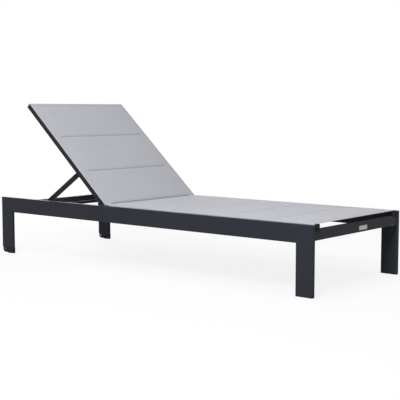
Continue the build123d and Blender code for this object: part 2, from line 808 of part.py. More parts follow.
with BuildPart() as back_sling:
    bar_rise = bar_top - hinge_z
    with BuildSketch(back_section(back_cloth_start)):
        with Locations((0, bar_rise + cloth_thickness / 2)):
            Rectangle(2 * cloth_edge, cloth_thickness)
    extrude(amount=back_cloth_end - back_cloth_start)
    web_middle = (keder_rise + keder_rod / 2 + bar_rise) / 2
    with BuildSketch(back_section(knuckle_reach)):
        with Locations((keder_y, web_middle), (-keder_y, web_middle)):
            Rectangle(cloth_web, bar_top - web_z)
    extrude(amount=back_cloth_end - knuckle_reach)
    with BuildSketch(back_section(back_cloth_start + pad_end_margin)):
        with Locations((0, bar_rise + (cloth_thickness + pad_crown - pad_depth) / 2)):
            Rectangle(2 * pad_half_width, cloth_thickness + pad_crown + pad_depth)
    extrude(amount=back_cloth_end - back_cloth_start - 2 * pad_end_margin)
save(back_sling.part, "backrest_sling")


# %% Blank plate on the foot cross rail, held by two rivets

tag_z = bar_bottom - tag_drop
tag_face = half_length - cross_recess
rivet_y = tag_length / 2 - tag_rivet

with BuildPart() as tag:
    with BuildSketch(Plane.YZ.offset(tag_face)):
        with Locations((tag_y, tag_z)):
            RectangleRounded(tag_length, tag_height, tube_edge_radius)
    extrude(amount=tag_thickness)
save(tag.part, "tag_plate")

with BuildPart() as tag_rivets:
    with BuildSketch(Plane.YZ.offset(tag_face + tag_thickness)):
        with Locations((tag_y + rivet_y, tag_z), (tag_y - rivet_y, tag_z)):
            Circle(tag_rivet / 2)
    extrude(amount=tag_thickness / 2)
save(tag_rivets.part, "tag_rivets")
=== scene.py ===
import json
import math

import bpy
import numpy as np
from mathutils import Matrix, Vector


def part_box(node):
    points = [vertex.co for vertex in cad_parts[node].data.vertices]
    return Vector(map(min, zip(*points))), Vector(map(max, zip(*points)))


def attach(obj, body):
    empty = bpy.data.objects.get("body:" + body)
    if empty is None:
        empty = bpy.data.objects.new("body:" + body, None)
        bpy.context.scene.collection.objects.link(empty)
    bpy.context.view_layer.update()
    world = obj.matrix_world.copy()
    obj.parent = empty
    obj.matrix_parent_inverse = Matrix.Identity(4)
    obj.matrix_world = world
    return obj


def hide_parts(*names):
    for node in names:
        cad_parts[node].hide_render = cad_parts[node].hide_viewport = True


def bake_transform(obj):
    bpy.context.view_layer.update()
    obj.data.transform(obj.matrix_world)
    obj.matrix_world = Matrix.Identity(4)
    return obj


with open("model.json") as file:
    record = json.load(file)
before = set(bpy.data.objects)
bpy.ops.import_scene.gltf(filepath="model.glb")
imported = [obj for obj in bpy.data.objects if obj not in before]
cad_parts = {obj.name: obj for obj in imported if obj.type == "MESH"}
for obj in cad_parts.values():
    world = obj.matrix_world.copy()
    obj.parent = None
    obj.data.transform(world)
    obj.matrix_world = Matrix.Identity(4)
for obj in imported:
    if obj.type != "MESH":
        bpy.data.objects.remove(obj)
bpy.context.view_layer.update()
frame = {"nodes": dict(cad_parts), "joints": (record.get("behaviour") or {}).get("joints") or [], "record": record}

# %% [markdown]
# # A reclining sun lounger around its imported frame
# The rails, bars, wheels and fasteners arrive as a fixed frame, at their real size. What is made here
# is all that gives the lounger its looks: the padded sling with its sewn panels, the stitching, the
# small plate on the foot rail, and a finish for every piece.
#
# All lengths are in metres. +X points to the foot end, +Y to the sitter's left and +Z up.

MM = 0.001
tilt_joint = next(j for j in frame["joints"] if j["name"] == "backrest_tilt")
hinge_x, hinge_z = tilt_joint["pos_m"][0], tilt_joint["pos_m"][2]
tilt = math.radians(-tilt_joint["range_deg"][0])
print("hinge at", hinge_x, hinge_z, "backrest at", round(math.degrees(tilt), 1), "degrees")

# %% [markdown]
# ## Sums in a shader
# A finish is a graph of small nodes. Written as plain sums it stays readable, so one class wraps a
# socket and turns + - * / into Math nodes. Every other node comes from `Graph.node`.


# %% A value in a shader
class Value:
    """A socket that can be used in sums; each sum adds a Math node."""

    def __init__(self, graph, socket):
        self.graph, self.socket = graph, socket

    def maths(self, operation, *inputs):
        return self.graph.node("ShaderNodeMath", {"operation": operation}, dict(enumerate(inputs)))

    def __add__(self, other):
        return self.maths("ADD", self, other)

    def __sub__(self, other):
        return self.maths("SUBTRACT", self, other)

    def __rsub__(self, other):
        return self.maths("SUBTRACT", other, self)

    def __mul__(self, other):
        return self.maths("MULTIPLY", self, other)

    def __truediv__(self, other):
        return self.maths("DIVIDE", self, other)

    def __rtruediv__(self, other):
        return self.maths("DIVIDE", other, self)

    __radd__ = __add__
    __rmul__ = __mul__

    def sine(self):
        return self.maths("SINE", self)

    def size(self):
        return self.maths("ABSOLUTE", self)

    def floor(self):
        return self.maths("FLOOR", self)

    def wrap(self, other):
        return self.maths("FLOORED_MODULO", self, other)

    def most(self, other):
        return self.maths("MAXIMUM", self, other)

    def clamp(self):
        return self.maths("MINIMUM", self.maths("MAXIMUM", self, 0.0), 1.0)


# %% A graph of nodes
class Graph:
    """The nodes of a material or of the world."""

    def __init__(self, tree):
        self.tree = tree

    def node(self, kind, settings=None, inputs=None, output=0):
        """Adds a node: settings first, then a value or link for each input, by name or number."""
        node = self.tree.nodes.new(kind)
        for key, setting in (settings or {}).items():
            setattr(node, key, setting)
        for key, given in (inputs or {}).items():
            self.feed(node.inputs[key], given)
        return Value(self, node.outputs[output])

    def feed(self, socket, given):
        if isinstance(given, Value):
            self.tree.links.new(given.socket, socket)
        else:
            socket.default_value = given

    def looked_at(self):
        """1 where the surface or sky is seen, also in a reflection or through glass; 0 where it lights."""
        seen = self.node("ShaderNodeLightPath", output="Is Camera Ray")
        for ray in ("Is Glossy Ray", "Is Transmission Ray"):
            seen = seen.most(self.node("ShaderNodeLightPath", output=ray))
        return seen


# %% A finish
class Finish(Graph):
    """A material under construction, with its Principled shader."""

    def __init__(self, name, roughness=0.5, metallic=0.0, specular=0.5):
        self.material = bpy.data.materials.new(name)
        self.material.use_nodes = True
        super().__init__(self.material.node_tree)
        self.shader = self.tree.nodes["Principled BSDF"]
        self.shader.inputs["Roughness"].default_value = roughness
        self.shader.inputs["Metallic"].default_value = metallic
        self.shader.inputs["Specular IOR Level"].default_value = specular

    def set(self, **links):
        """Links values to the shader's own inputs: base_color, roughness, normal and so on."""
        for key, given in links.items():
            self.feed(self.shader.inputs[key.replace("_", " ").title()], given)

    def place(self):
        return self.node("ShaderNodeTexCoord", output="Object")

    def stretched(self, scale, where=None):
        """Coordinates scaled along each axis, for grain that runs one way."""
        return self.node("ShaderNodeMapping", None, {"Vector": where or self.place(), "Scale": scale})

    def noise(self, scale, detail=2.0, where=None):
        inputs = {"Vector": where or self.place(), "Scale": scale, "Detail": detail}
        return self.node("ShaderNodeTexNoise", None, inputs)

    def blend_colours(self, amount, first, second):
        first, second = (c if isinstance(c, Value) else (*c, 1.0) for c in (first, second))
        inputs = {0: amount, 6: first, 7: second}
        return self.node("ShaderNodeMix", {"data_type": "RGBA"}, inputs, output=2)

    def corners(self, radius):
        """0 on a flat face, more where the surface turns within the radius."""
        rounded = self.node("ShaderNodeBevel", {"samples": 8}, {"Radius": radius})
        real = self.node("ShaderNodeNewGeometry", output="Normal")
        settings = {"operation": "DOT_PRODUCT"}
        alike = self.node("ShaderNodeVectorMath", settings, {0: rounded, 1: real}, output="Value")
        return 1 - alike

    def bump(self, height, depth, strength):
        inputs = {"Height": height, "Distance": depth, "Strength": strength}
        return self.node("ShaderNodeBump", None, inputs)


print("shader helpers ready")

# %% [markdown]
# ## The frame's coat
# The rails are powder coated: a matt anthracite skin with a fine orange-peel grain. The coat is never
# quite even, so a slow noise shifts its tone a little, and near the ground it carries some dust. Along
# the corners it is painted paler in patches: partly wear, where the coat thins and gets rubbed, and
# partly a painted highlight, where the rounded edges catch the light. A Bevel node finds the corners:
# the normal that it rounds differs from the real one only there. The mitres between rails and legs are
# flush and never rubbed, so they are masked out.


# %% Where the mitres are
leg_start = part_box("foot_leg_left")[0][0]
rail_lo, rail_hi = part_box("side_rail_left")
print("mitres from", round(leg_start, 3), "to", round(rail_hi[0], 3), "m")


def off_mitre(from_middle, height):
    """0 along a mitre, which climbs from a leg's inner side to the rail's outer corner, 1 beside it."""
    along = (from_middle - leg_start) / (rail_hi[0] - leg_start)
    up = (height - rail_lo[2]) / (rail_hi[2] - rail_lo[2])
    return ((along - up).size() * 20.0 - 1.0).clamp()


# %% Powder coat
DUSTY_BELOW = 60 * MM
CORNER_WEAR_AND_HIGHLIGHT = 3 * MM
EDGE_WEAR_AND_HIGHLIGHT_TONE = 2.0  # times as bright as the light tone


def powder_coat(name, dark, light):
    coat = Finish(name, specular=0.09)
    grain = coat.noise(scale=1500.0, detail=3.0)
    cloud = coat.noise(scale=7.0, detail=4.0)
    patches = coat.noise(scale=60.0, detail=4.0)
    where = coat.place()
    height = coat.node("ShaderNodeSeparateXYZ", None, {0: where}, output="Z")
    from_middle = coat.node("ShaderNodeSeparateXYZ", None, {0: where}, output="X").size()
    dust = (1 - height / DUSTY_BELOW).clamp() * cloud
    tone = (cloud * 0.7 + grain * 0.3 + dust * 0.5).clamp()
    # Corners painted paler: partly worn coat, partly a painted highlight along the edges.
    edge_wear_and_highlight = (coat.corners(CORNER_WEAR_AND_HIGHLIGHT) * patches * 16.0 - 0.3).clamp() * off_mitre(from_middle, height)
    worn_and_highlit_tone = tuple(EDGE_WEAR_AND_HIGHLIGHT_TONE * part for part in light)
    coat.set(base_color=coat.blend_colours(edge_wear_and_highlight, coat.blend_colours(tone, dark, light), worn_and_highlit_tone))
    coat.set(roughness=0.44 + cloud * 0.14 + dust * 0.2 - edge_wear_and_highlight * 0.1)
    coat.set(normal=coat.bump(grain, depth=0.06 * MM, strength=0.5))
    return coat.material


print("dust on the lowest", round(DUSTY_BELOW / MM), "mm")

# %% [markdown]
# ## Plastic, rubber and bare metal
# A moulded piece takes on the skin of its mould, which is eroded to a fine even grain. So one recipe
# serves the caps, blocks, treads and edge rods, with other tones, grains and depths. Bolts, axles and
# the plate are bare metal, brushed one way. A noise that is stretched along one axis gives the fine
# scratches, which break up the reflections as on the real ones.


# %% Moulded plastic, nylon and rubber
def moulded(name, dark, light, roughness, grain_scale, depth):
    """A moulded surface with a fine spark-eroded grain."""
    skin = Finish(name, specular=0.12)
    grain = skin.noise(grain_scale, detail=4.0)
    cloud = skin.noise(scale=22.0, detail=3.0)
    tone = (grain * 0.55 + cloud * 0.45).clamp()
    skin.set(base_color=skin.blend_colours(tone, dark, light))
    skin.set(roughness=roughness - 0.08 + grain * 0.16)
    skin.set(normal=skin.bump(grain, depth, strength=0.6))
    return skin.material


# %% Metal that was brushed one way
SCRATCHES_ALONG, SCRATCHES_ACROSS = 60.0, 2600.0  # changes of tone in a metre


def brushed(name, dark, light, roughness):
    """Bright metal whose scratches run along Y, from side to side."""
    metal = Finish(name, metallic=1.0)
    brush = metal.stretched((SCRATCHES_ACROSS, SCRATCHES_ALONG, SCRATCHES_ACROSS))
    scratch = metal.noise(scale=1.0, detail=3.0, where=brush)
    cloud = metal.noise(scale=40.0, detail=2.0)
    metal.set(base_color=metal.blend_colours((scratch * 0.7 + cloud * 0.3).clamp(), dark, light))
    metal.set(roughness=roughness - 0.1 + scratch * 0.2)
    metal.set(normal=metal.bump(scratch, depth=0.02 * MM, strength=0.5))
    return metal.material


print("scratches", round(1 / SCRATCHES_ACROSS / MM, 2), "mm apart")

# %% [markdown]
# ## The woven sling
# The cloth is a plain weave of coated yarns, over one and under one. Each yarn has its own shade of
# light grey, which gives the heathered look from afar. The pattern follows the cloth through its UV
# map, which is laid out in metres, so the weave keeps its true size round every bend.


# %% Woven mesh
YARN = 1.3 * MM
STREAK = 38.0  # changes of shade in a metre of yarn
SEAM_SHADE = 0.45


def woven(name, dark, light):
    """Plain weave: which yarn is on top changes like a chess board. Seams are painted darker, a painted shade."""
    cloth = Finish(name, specular=0.25)
    uv = cloth.node("ShaderNodeUVMap", {"uv_map": "cloth"})
    across = cloth.node("ShaderNodeSeparateXYZ", None, {0: uv}, output="X") / YARN
    along = cloth.node("ShaderNodeSeparateXYZ", None, {0: uv}, output="Y") / YARN
    warp_on_top = (across.floor() + along.floor()).wrap(2.0)
    warp = (across * math.pi).sine().size()
    weft = (along * math.pi).sine().size()
    height = warp * warp_on_top + weft * (1 - warp_on_top)
    warp_shade = cloth.noise(scale=1.0, where=cloth.stretched((1 / YARN, STREAK, 1.0), uv))
    weft_shade = cloth.noise(scale=1.0, where=cloth.stretched((STREAK, 1 / YARN, 1.0), uv))
    shade = warp_shade * warp_on_top + weft_shade * (1 - warp_on_top)
    slow = cloth.noise(scale=5.0, detail=3.0, where=uv)
    # The seam mark darkens the cloth by SEAM_SHADE: a painted shade in the grooves of the seams and the crease.
    seam_shade_mark = cloth.node("ShaderNodeAttribute", {"attribute_name": "tightness"}, output="Fac")
    # The yarns' crests are painted lighter than the dips between yarns: painted shade in the weave.
    tone = (0.12 + shade * 0.62 + height * 0.16 + slow * 0.12 - seam_shade_mark * SEAM_SHADE).clamp()
    cloth.set(base_color=cloth.blend_colours(tone, dark, light))
    cloth.set(roughness=0.78 + shade * 0.14)
    cloth.set(normal=cloth.bump(height, depth=0.22 * MM, strength=0.55))
    return cloth.material


print("yarns", round(YARN / MM, 1), "mm wide")

# %% [markdown]
# ## Giving each piece its finish
# Every node of the frame names a slot, such as black_nylon. One finish for each slot would do, but a
# few pieces get a finish of their own: the backrest and its stay are a little darker than the frame,
# and the wheels' blocks, hubs and axles are duller.

# %% Every finish
RECIPES = {
    "frame_paint": (powder_coat, (0.031, 0.034, 0.045), (0.043, 0.046, 0.059)),
    "black_plastic": (moulded, (0.004, 0.004, 0.005), (0.009, 0.009, 0.011), 0.65, 2400.0, 0.05 * MM),
    "black_nylon": (moulded, (0.016, 0.016, 0.016), (0.026, 0.026, 0.026), 0.42, 1800.0, 0.02 * MM),
    "tread_rubber": (moulded, (0.013, 0.013, 0.014), (0.026, 0.025, 0.025), 0.85, 1500.0, 0.08 * MM),
    "bumper_rubber": (moulded, (0.012, 0.012, 0.012), (0.024, 0.024, 0.024), 0.8, 1600.0, 0.06 * MM),
    "keder_plastic": (moulded, (0.36, 0.36, 0.38), (0.46, 0.46, 0.48), 0.5, 1200.0, 0.02 * MM),
    "fastener_steel": (brushed, (0.42, 0.42, 0.43), (0.62, 0.62, 0.63), 0.34),
    "tag_metal": (brushed, (0.30, 0.30, 0.32), (0.44, 0.44, 0.46), 0.4),
    "sling_fabric": (woven, (0.37, 0.375, 0.41), (0.66, 0.667, 0.712)),
}
FINISHES = {slot: make(slot, *values) for slot, (make, *values) in RECIPES.items()}
print("finishes:", ", ".join(FINISHES))

# %% Pieces that differ a little from the rest of their slot
back_coat = powder_coat("backrest_paint", (0.023, 0.024, 0.029), (0.033, 0.034, 0.040))
stay_coat = powder_coat("stay_paint", (0.017, 0.017, 0.018), (0.027, 0.027, 0.028))
foot_block = moulded("foot_block", (0.015, 0.016, 0.020), (0.025, 0.026, 0.031), 0.6, 2000.0, 0.05 * MM)
axle_steel = brushed("axle_steel", (0.24, 0.24, 0.25), (0.38, 0.38, 0.39), 0.4)
OWN = {
    "backrest_bar": back_coat,
    "backrest_top_bar": back_coat,
    "backrest_low_bar": back_coat,
    "stay_arm": stay_coat,
    "stay_cross_tube": stay_coat,
    "wheel_block": foot_block,
    "wheel_hub": foot_block,
    "wheel_axles": axle_steel,
}
print("own finish:", ", ".join(OWN))

# %% Finish the frame's own nodes
slots = {part["node"]: part["material_slot"] for part in frame["record"]["subparts"]}
for name, node in frame["nodes"].items():
    finish = OWN.get(name.removesuffix("_left").removesuffix("_right"), FINISHES[slots[name]])
    if not node.material_slots:
        node.data.materials.append(finish)
    for material_slot in node.material_slots:
        material_slot.material = finish
print(len(slots), "nodes finished")

# %% [markdown]
# ## The sling, laid out flat
# The sling is one long padded cloth: a thin strip along each bar, and between the strips a quilted pad
# sewn across into five seat panels and three back panels. It could be modelled where it hangs, but a
# real one is cut, filled and sewn flat, and so is this one: flat, every seam is a straight line.
# `length` runs from the foot hem to the head hem, `across` from side to side, and `rise` is the height
# above the bars. Only at the end is it folded over the hinge.

# %% Sizes of the sling
seat_hi, back_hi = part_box("seat_sling")[1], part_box("backrest_sling")[1]
bar_side, bar_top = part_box("sling_rail_left")[1][1:]
bar_rise = bar_top - hinge_z

CLOTH = 1.5 * MM  # thickness of the cloth alone
SIDE_STRIP, END_STRIP = 38 * MM, 22 * MM  # have no foam
TURNED_DOWN = 9.9 * MM  # at each side, round the bar or into its slot
LAP = 8 * MM  # over the caps, at both ends
FOLD_RADIUS = 7 * MM
PAD_SHIFT = 7 * MM  # the pad is sewn in a little off the middle

half_width = seat_hi[1] + TURNED_DOWN
pad_edge = seat_hi[1] - SIDE_STRIP
foot_end = seat_hi[0] + LAP
print("sling", round(2 * half_width, 3), "m wide, its pad", round(2 * pad_edge, 3), "m")

# %% Lengths of the sling: the seat, a short bend, and the back
corner = (bar_rise + FOLD_RADIUS) * math.tan(tilt / 2)
seat_length = foot_end - (hinge_x + corner)
fold_length = FOLD_RADIUS * tilt
top_from_hinge = (back_hi[2] - hinge_z - (bar_rise + CLOTH) * math.cos(tilt)) / math.sin(tilt)
back_length = top_from_hinge + LAP - corner
sling_length = seat_length + fold_length + back_length
crease = seat_length + fold_length / 2
print("flat sling", round(sling_length, 3), "m long, creased at", round(crease, 3), "m")

# %% Where it is sewn across
SEAT_PANEL = 0.2466
BACK_PANELS = [0.236, 0.254]  # from the crease up; the third ends at the head strip
seams = [crease - SEAT_PANEL * n for n in (4, 3, 2, 1)]
seams += [crease, crease + BACK_PANELS[0], crease + sum(BACK_PANELS)]
ends = [END_STRIP, sling_length - END_STRIP]
print("cross seams at", [round(s, 3) for s in seams])


# %% Fold the flat sling over the hinge
def fold(across, length, rise):
    """A point of the flat sling, on the real one: level seat, a small bend, then up the backrest."""
    across, length, rise = (np.asarray(v, float) for v in (across, length, rise))
    turn = np.clip((length - seat_length) / FOLD_RADIUS, 0, tilt)
    past = np.maximum(length - seat_length - fold_length, 0)
    level = np.minimum(length, seat_length)
    x = foot_end - level - (FOLD_RADIUS - rise) * np.sin(turn) - past * np.cos(turn)
    z = bar_top + FOLD_RADIUS - (FOLD_RADIUS - rise) * np.cos(turn) + past * np.sin(turn)
    return np.stack([x, across + 0 * x, z], axis=-1)


# %% Lines of the cloth: close together at a seam, wide apart in a panel
NEAR = [1.2 * MM, 2.4 * MM, 4 * MM, 6.5 * MM, 10 * MM]
ROW_GAP, COLUMN_GAP = 12 * MM, 4.5 * MM
SHORT_OF_MIDDLE = 2.2  # a little over 2, so that steps from both sides don't meet


def spaced(stops, wide):
    """Places from the first stop to the last, closer together beside every stop."""
    places = [stops[0]]
    for a, b in zip(stops, stops[1:]):
        steps = [d for d in NEAR if d < (b - a) / SHORT_OF_MIDDLE]
        inner_a, inner_b = a + steps[-1], b - steps[-1]
        count = max(1, round((inner_b - inner_a) / wide))
        places += [a + d for d in steps]
        places += list(np.linspace(inner_a, inner_b, count + 1)[1:])
        places += [b - d for d in reversed(steps[:-1])] + [b]
    return np.array(places)


rows = spaced([0.0, ends[0]] + seams + [ends[1], sling_length], ROW_GAP)
pad_sides = [PAD_SHIFT - pad_edge, PAD_SHIFT + pad_edge]
columns = spaced([-half_width] + pad_sides + [half_width], COLUMN_GAP)
print(len(rows), "rows and", len(columns), "columns")


# %% Select nothing, or one piece
def deselect_all():
    if bpy.context.object and bpy.context.object.mode != "OBJECT":
        bpy.ops.object.mode_set(mode="OBJECT")
    bpy.ops.object.select_all(action="DESELECT")


def make_active(piece):
    deselect_all()
    piece.select_set(True)
    bpy.context.view_layer.objects.active = piece


def apply_modifier(piece, kind, **settings):
    """Adds a modifier, sets it up and applies it."""
    make_active(piece)
    bpy.ops.object.modifier_add(type=kind)
    modifier = piece.modifiers[-1]
    for key, setting in settings.items():
        setattr(modifier, key, setting)
    bpy.ops.object.modifier_apply(modifier=modifier.name)


# %% The flat cloth, in two layers
deselect_all()
bpy.ops.mesh.primitive_grid_add(
    x_subdivisions=len(columns) - 1, y_subdivisions=len(rows) - 1, size=1.0
)
sling = bpy.context.object
sling.name = "sling"
LAYER_GAP = 4 * MM


def read_points(piece):
    found = np.empty(len(piece.data.vertices) * 3)
    piece.data.vertices.foreach_get("co", found)
    return found.reshape(-1, 3)


def place_points(piece, points):
    piece.data.vertices.foreach_set("co", np.ascontiguousarray(points, float).ravel())
    piece.data.update()


grid = read_points(sling)
column_of = np.rint((grid[:, 0] + 0.5) * (len(columns) - 1)).astype(int)
row_of = np.rint((grid[:, 1] + 0.5) * (len(rows) - 1)).astype(int)
apply_modifier(sling, "SOLIDIFY", thickness=LAYER_GAP, offset=-1.0)
column_of, row_of = np.tile(column_of, 2), np.tile(row_of, 2)
across, length = columns[column_of], rows[row_of]
upper = np.arange(len(across)) < len(grid)
print("two layers:", len(across), "points")

# %% [markdown]
# ## Filling the pad
# Foam fills every panel between its seams. Pushing the points up by a formula makes a pad as regular as
# a chocolate bar. So a thin shell is held along its seams and blown up from inside with Cloth: it
# settles into its own soft shoulders and wrinkles at the corners. Foam has only one thickness, so the
# swelling is eased towards that thickness and not left to balloon.

# %% How near a point is to a seam
HAIR = 1e-6  # less than this is no distance
to_seam = np.min([np.abs(length - s) for s in seams], axis=0)
nearest_seam = np.argmin([np.abs(length - s) for s in seams], axis=0)
from_middle = np.abs(across - PAD_SHIFT)
to_side = np.minimum(pad_edge - from_middle, np.minimum(length - ends[0], ends[1] - length))
to_side = np.clip(to_side, 0, None)
distance = np.minimum(to_seam, to_side)
print(int((distance > HAIR).sum()), "of", len(distance), "points are in the pad")

# %% Shape before filling: heights of both faces once filled, at the start, at the sides and at a seam
PAD_TOP, PAD_UNDER = 3.4 * MM, -7.0 * MM
START_TOP, START_UNDER = 2.5 * MM, -4.4 * MM
SIDE_TOP, SIDE_UNDER = 1.3 * MM, -0.4 * MM
SEAM_TOP, SEAM_UNDER = -1.4 * MM, -2.9 * MM
CREASE_DEEPER = 3.0 * MM
SHOULDER, SIDE_SHOULDER, SEAM_FADE = 3.0 * MM, 16 * MM, 5 * MM

fullness = 1 - np.exp(-to_side / SIDE_SHOULDER)
pull = np.exp(-to_seam / SHOULDER) * (1 - np.exp(-to_side / SEAM_FADE))
deeper = CREASE_DEEPER * (nearest_seam == seams.index(crease))
plump_top = SIDE_TOP + (START_TOP - SIDE_TOP) * fullness
plump_under = SIDE_UNDER + (START_UNDER - SIDE_UNDER) * fullness
start_top = plump_top + (SEAM_TOP - deeper - plump_top) * pull
start_under = plump_under + (SEAM_UNDER - deeper - plump_under) * pull
strip = (from_middle > pad_edge + HAIR) | (length < ends[0] - HAIR) | (length > ends[1] + HAIR)
rise = np.where(upper, np.where(strip, CLOTH, start_top), np.where(strip, 0.0, start_under))
flat = np.stack([across, length, rise], axis=-1)
place_points(sling, flat)
print("laid flat,", round(float(np.ptp(rise)) / MM, 1), "mm thick before filling")


# %% Blow up a shell
def fill(piece, held, frames=16, pressure=4.0):
    """Blows the shell up with Cloth, holding the given points, and returns where all points went."""
    sewn = piece.vertex_groups.new(name="sewn")
    sewn.add([int(i) for i in np.flatnonzero(held)], 1.0, "REPLACE")
    make_active(piece)
    bpy.ops.object.modifier_add(type="CLOTH")
    cloth = piece.modifiers[-1]
    cloth.settings.quality = 4
    cloth.settings.use_pressure = True
    cloth.settings.uniform_pressure_force = pressure
    cloth.settings.vertex_group_mass = "sewn"
    cloth.settings.effector_weights.gravity = 0.0
    cloth.settings.shrink_min = -0.02
    cloth.settings.bending_stiffness = 0.2
    cloth.collision_settings.use_collision = False
    cloth.point_cache.frame_start, cloth.point_cache.frame_end = 1, frames
    for step in range(1, frames + 1):
        bpy.context.scene.frame_set(step)
    bpy.ops.object.modifier_apply(modifier=cloth.name)
    bpy.context.scene.frame_set(1)
    piece.vertex_groups.clear()
    return read_points(piece)


# %% Fill the pad, and ease the swelling to the foam's thickness
HELD = 1.3 * MM  # on each side of a seam
FOAM_GAIN = 1.5  # the higher, the sooner the foam fills out
target = np.where(upper, PAD_TOP - START_TOP, START_UNDER - PAD_UNDER)
moved = fill(sling, distance < HELD) - flat
up = np.clip(np.where(upper, moved[:, 2], -moved[:, 2]), HAIR, None)
swell = target * np.tanh(FOAM_GAIN * up / target) * fullness
slid = moved[:, :2] * np.minimum(swell / up, 1.0)[:, None]
print("blown up by", round(float(up.max()) / MM, 1), "mm, eased to", round(swell.max() / MM, 1))
rise = rise + np.where(upper, swell, -swell)

# %% [markdown]
# ## Puckers, hems and rolled edges
# Thread pulled tight gathers the cloth beside it into short ripples. They are unevenly spaced, from a
# seeded random row, and die away within two centimetres. The two ends are hemmed: the cloth is turned
# over once and sewn down. Along the seat it rolls over the outer side of the bars, and along the
# backrest it goes down into the slots that hold it.

# %% A random wave
rng = np.random.default_rng(7)


def uneven_wave(at, line, waves):
    """A smooth random wave along each line of stitches; at runs from 0 to 1."""
    knots = rng.normal(0, 1, (int(line.max()) + 1, waves))
    place = np.clip(at, 0, 0.9999) * (waves - 1)
    low = place.astype(int)
    part = place - low
    part = part * part * (3 - 2 * part)
    return knots[line, low] * (1 - part) + knots[line, low + 1] * part


print("a wave between random knots, the same at every run")

# %% Puckers beside the cross seams and beside the pad's long sides
CROSS_PUCKER, SIDE_PUCKER = 0.3 * MM, 0.21 * MM
CROSS_WAVES, SIDE_WAVES = 86, 240
PUCKER_REACH, HELD_DOWN = 8 * MM, 2 * MM  # fades away from the seam, and right at it
free = np.clip(distance / HELD_DOWN, 0, 1)

line = nearest_seam + len(seams) * ~upper
cross_ripple = uneven_wave(across / (2 * half_width) + 0.5, line, CROSS_WAVES)
rise = rise + CROSS_PUCKER * cross_ripple * np.exp(-to_seam / PUCKER_REACH) * free

line = (across > 0).astype(int) + 2 * ~upper
side_ripple = uneven_wave(length / sling_length, line, SIDE_WAVES)
to_border = np.abs(pad_edge - from_middle)
rise = rise + SIDE_PUCKER * side_ripple * np.exp(-to_border / PUCKER_REACH) * free
print("puckers up to", round(float(np.abs(cross_ripple).max() * CROSS_PUCKER) / MM, 2), "mm")

# %% Slow unevenness of the filling
LUMP, LUMP_EDGE = 0.35 * MM, 30 * MM
LUMPS_ALONG, LUMPS_ACROSS = 24, 2.2
lumps = uneven_wave(length / sling_length, (across > 0).astype(int), LUMPS_ALONG)
lumps = lumps * np.cos(across / half_width * LUMPS_ACROSS) ** 2
rise = rise + LUMP * lumps * np.clip(distance / LUMP_EDGE, 0, 1)
print("lumps up to", round(float(np.abs(lumps).max() * LUMP) / MM, 2), "mm")

# %% Hems at both ends
HEM, HEM_STEP, END_ROUND = 15 * MM, 2.5 * MM, 3 * MM
HEM_RISE, SHARE_UNDER = 0.8 * MM, 0.4
from_end = np.minimum(length, sling_length - length)
roll = np.sqrt(np.clip(1 - (1 - np.clip(from_end / END_ROUND, 0, 1)) ** 2, 0, 1))
hem_height = HEM_RISE * np.clip((HEM - from_end) / HEM_STEP, 0, 1)
middle = 0.5 * CLOTH
hem_top = middle + (0.5 * CLOTH + hem_height) * roll
hem_under = middle - (0.5 * CLOTH + SHARE_UNDER * hem_height) * roll
in_hem = from_end < ends[0] - HAIR
rise = np.where(in_hem, np.where(upper, hem_top, hem_under), rise)
print("hems", round(float((hem_top - hem_under).max()) / MM, 1), "mm thick")

# %% The held edges, from the very edge inwards: past the bar's side, and up from its top, in mm
STEPS = [0.0] + NEAR
OUT, UP = 0, 1
ROLLED_OVER = {
    "above": ([1.6, 1.9, 1.8, 1.2, -0.6, -4.1], [-4.6, -3.3, -2.0, -0.3, 1.1, 1.5]),
    "below": ([0.1, 0.1, 0.1, 0.1, -1.0, -4.1], [-4.6, -3.3, -2.0, -0.3, 0.0, 0.0]),
}
IN_THE_SLOT = {
    "above": ([-4.0, -4.0, -4.0, -4.2, -5.4, -8.4], [-4.4, -3.2, -2.0, -0.4, 1.0, 1.5]),
    "below": ([-5.2, -5.2, -5.2, -5.3, -6.6, -8.4], [-4.4, -3.2, -2.0, -0.6, 0.0, 0.0]),
}
SLOT_FROM_HINGE, ROLL_TO_HINGE = 22 * MM, 38 * MM
print("the roll turns into the slot over", round((ROLL_TO_HINGE - SLOT_FROM_HINGE) / MM), "mm")


# %% From one edge to the other
def smooth_step(value, start, end):
    part = np.clip((value - start) / (end - start), 0, 1)
    return part * part * (3 - 2 * part)


to_hinge = foot_end - hinge_x - length
rolled_share = smooth_step(to_hinge, SLOT_FROM_HINGE, ROLL_TO_HINGE)
from_side = half_width - np.abs(across)


def edge_shape(face, way):
    """How far OUT past the bar's side, or UP from its top, the cloth is near its edge."""
    on_seat = np.interp(from_side, STEPS, ROLLED_OVER[face][way]) * MM
    on_back = np.interp(from_side, STEPS, IN_THE_SLOT[face][way]) * MM
    return on_seat * rolled_share + on_back * (1 - rolled_share)


# %% Lay the edges round the bars
pad_side = pad_edge + PAD_SHIFT * np.sign(across)
share = np.clip((np.abs(across) - pad_side) / (half_width - STEPS[-1] - pad_side), 0, 1)
reach = np.empty(len(across))
for face, layer in (("above", upper), ("below", ~upper)):
    edge = bar_side + edge_shape(face, OUT)
    flat_part = np.minimum(np.abs(across), pad_side) + share * (edge - pad_side)
    reach[layer] = np.where(from_side > STEPS[-1] + HAIR, flat_part, edge)[layer]
    rolled = layer & (from_side < STEPS[-2] + HAIR)
    rise[rolled] = edge_shape(face, UP)[rolled]
folded_across = np.sign(across) * reach + slid[:, 0]
print("half width of the seat", round(float(reach.max()), 4), "m")

# %% Fold it over the hinge
place_points(sling, fold(folded_across, length + slid[:, 1], rise))
make_active(sling)
bpy.ops.object.mode_set(mode="EDIT")
bpy.ops.mesh.select_all(action="SELECT")
bpy.ops.mesh.normals_make_consistent(inside=False)
bpy.ops.object.mode_set(mode="OBJECT")
bpy.ops.object.shade_smooth_by_angle(angle=math.radians(60))
print("sling has", sum(len(p.vertices) - 2 for p in sling.data.polygons), "triangles")

